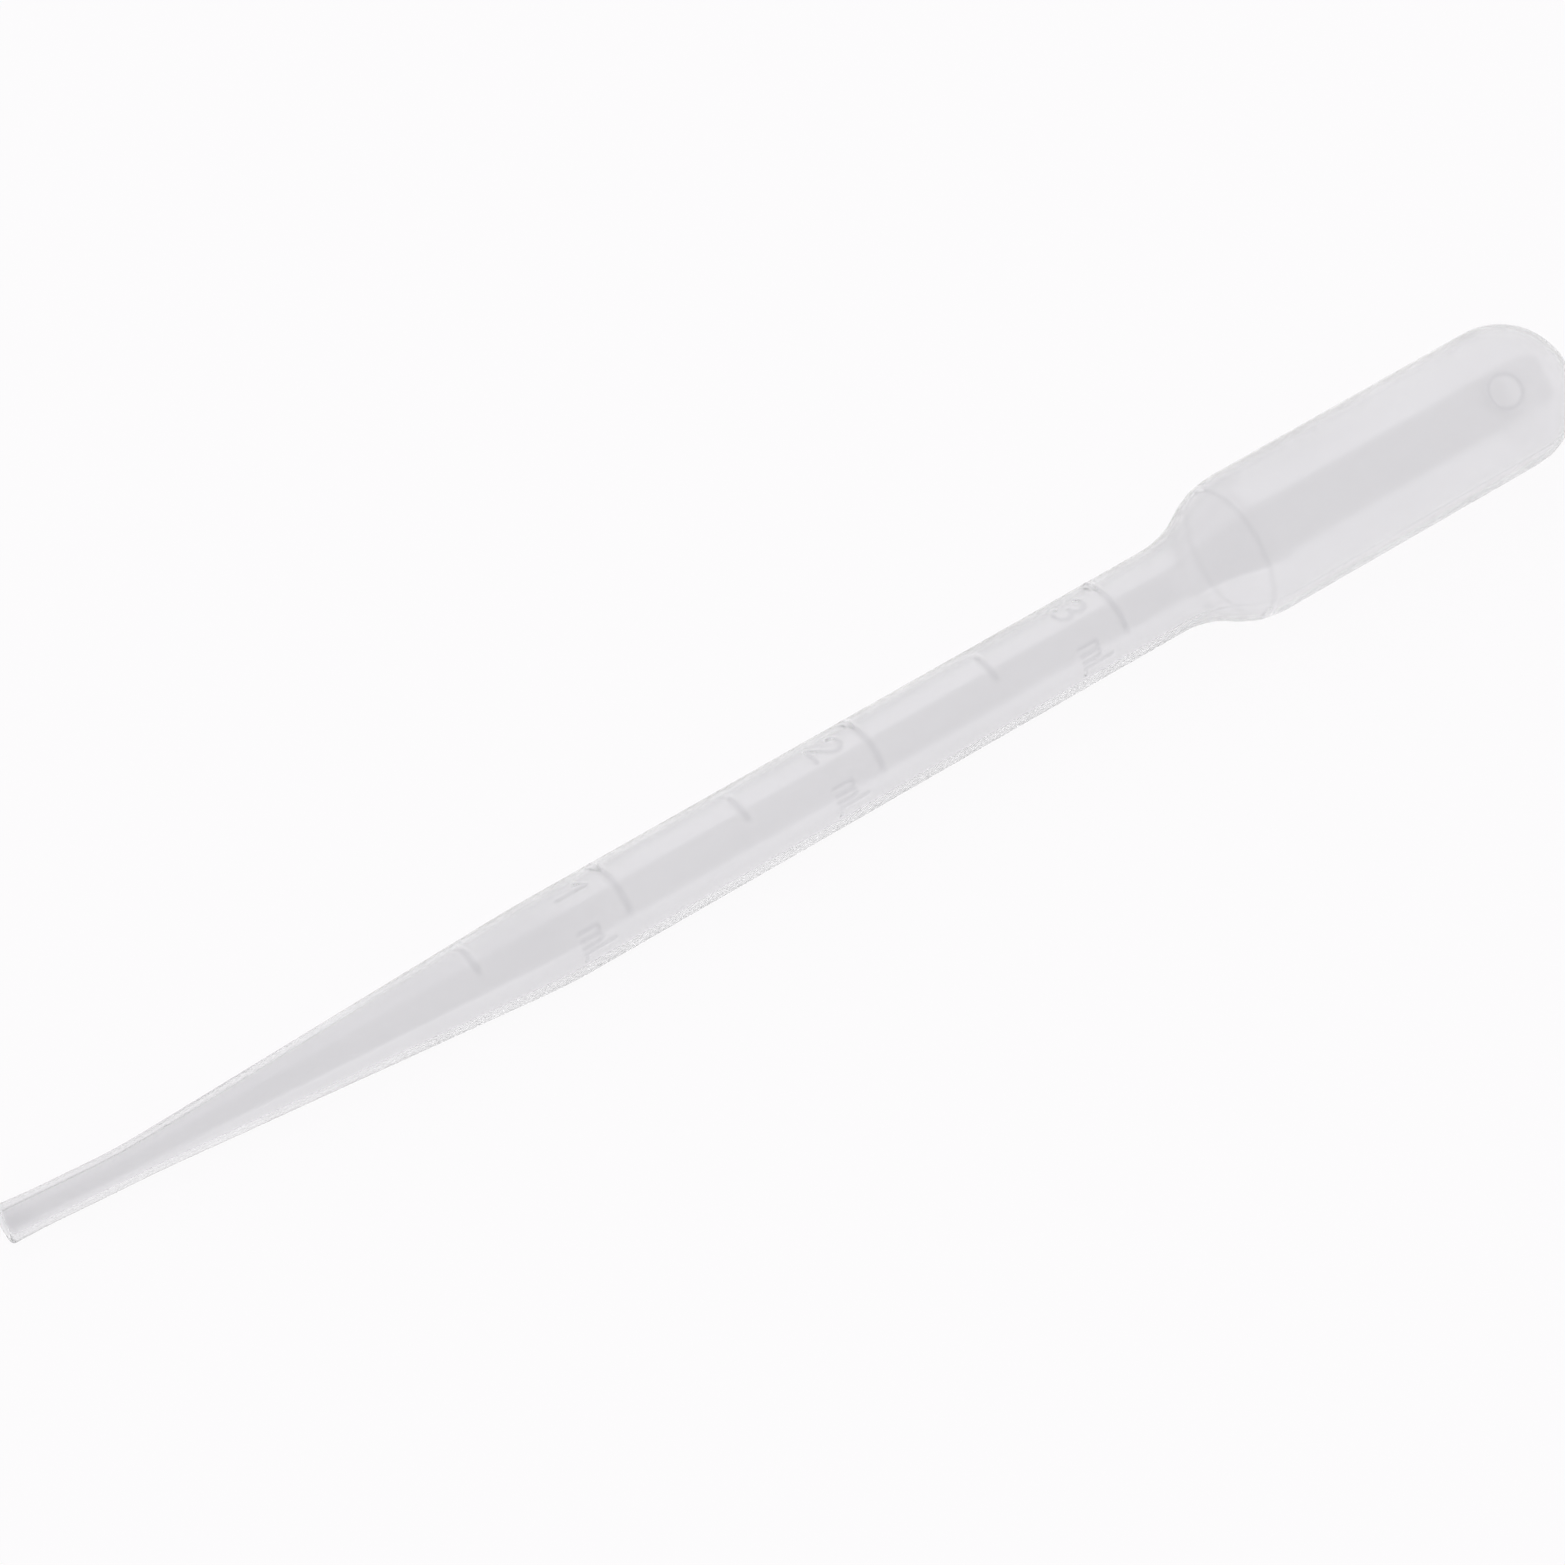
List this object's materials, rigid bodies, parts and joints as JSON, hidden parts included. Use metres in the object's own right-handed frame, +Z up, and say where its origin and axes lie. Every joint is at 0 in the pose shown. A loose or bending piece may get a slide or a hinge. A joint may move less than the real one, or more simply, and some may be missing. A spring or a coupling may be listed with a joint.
{
  "type": "plastic dropper pipette",
  "caption": "One-piece soft plastic dropper pipette with a squeeze bulb, a raised volume scale on its stem and a long tapered tip.",
  "frame": {"origin": "on the table under the middle of the pipette as it lies", "axes": "+X along the pipette from the nozzle to the bulb, +Z up"},
  "size_m": [0.1599, 0.0134, 0.0144],
  "materials": {
    "soft_plastic": "soft milky translucent polyethylene, satin"
  },
  "bodies": {
    "root": {"pipette": "soft_plastic"}
  },
  "joints": []
}
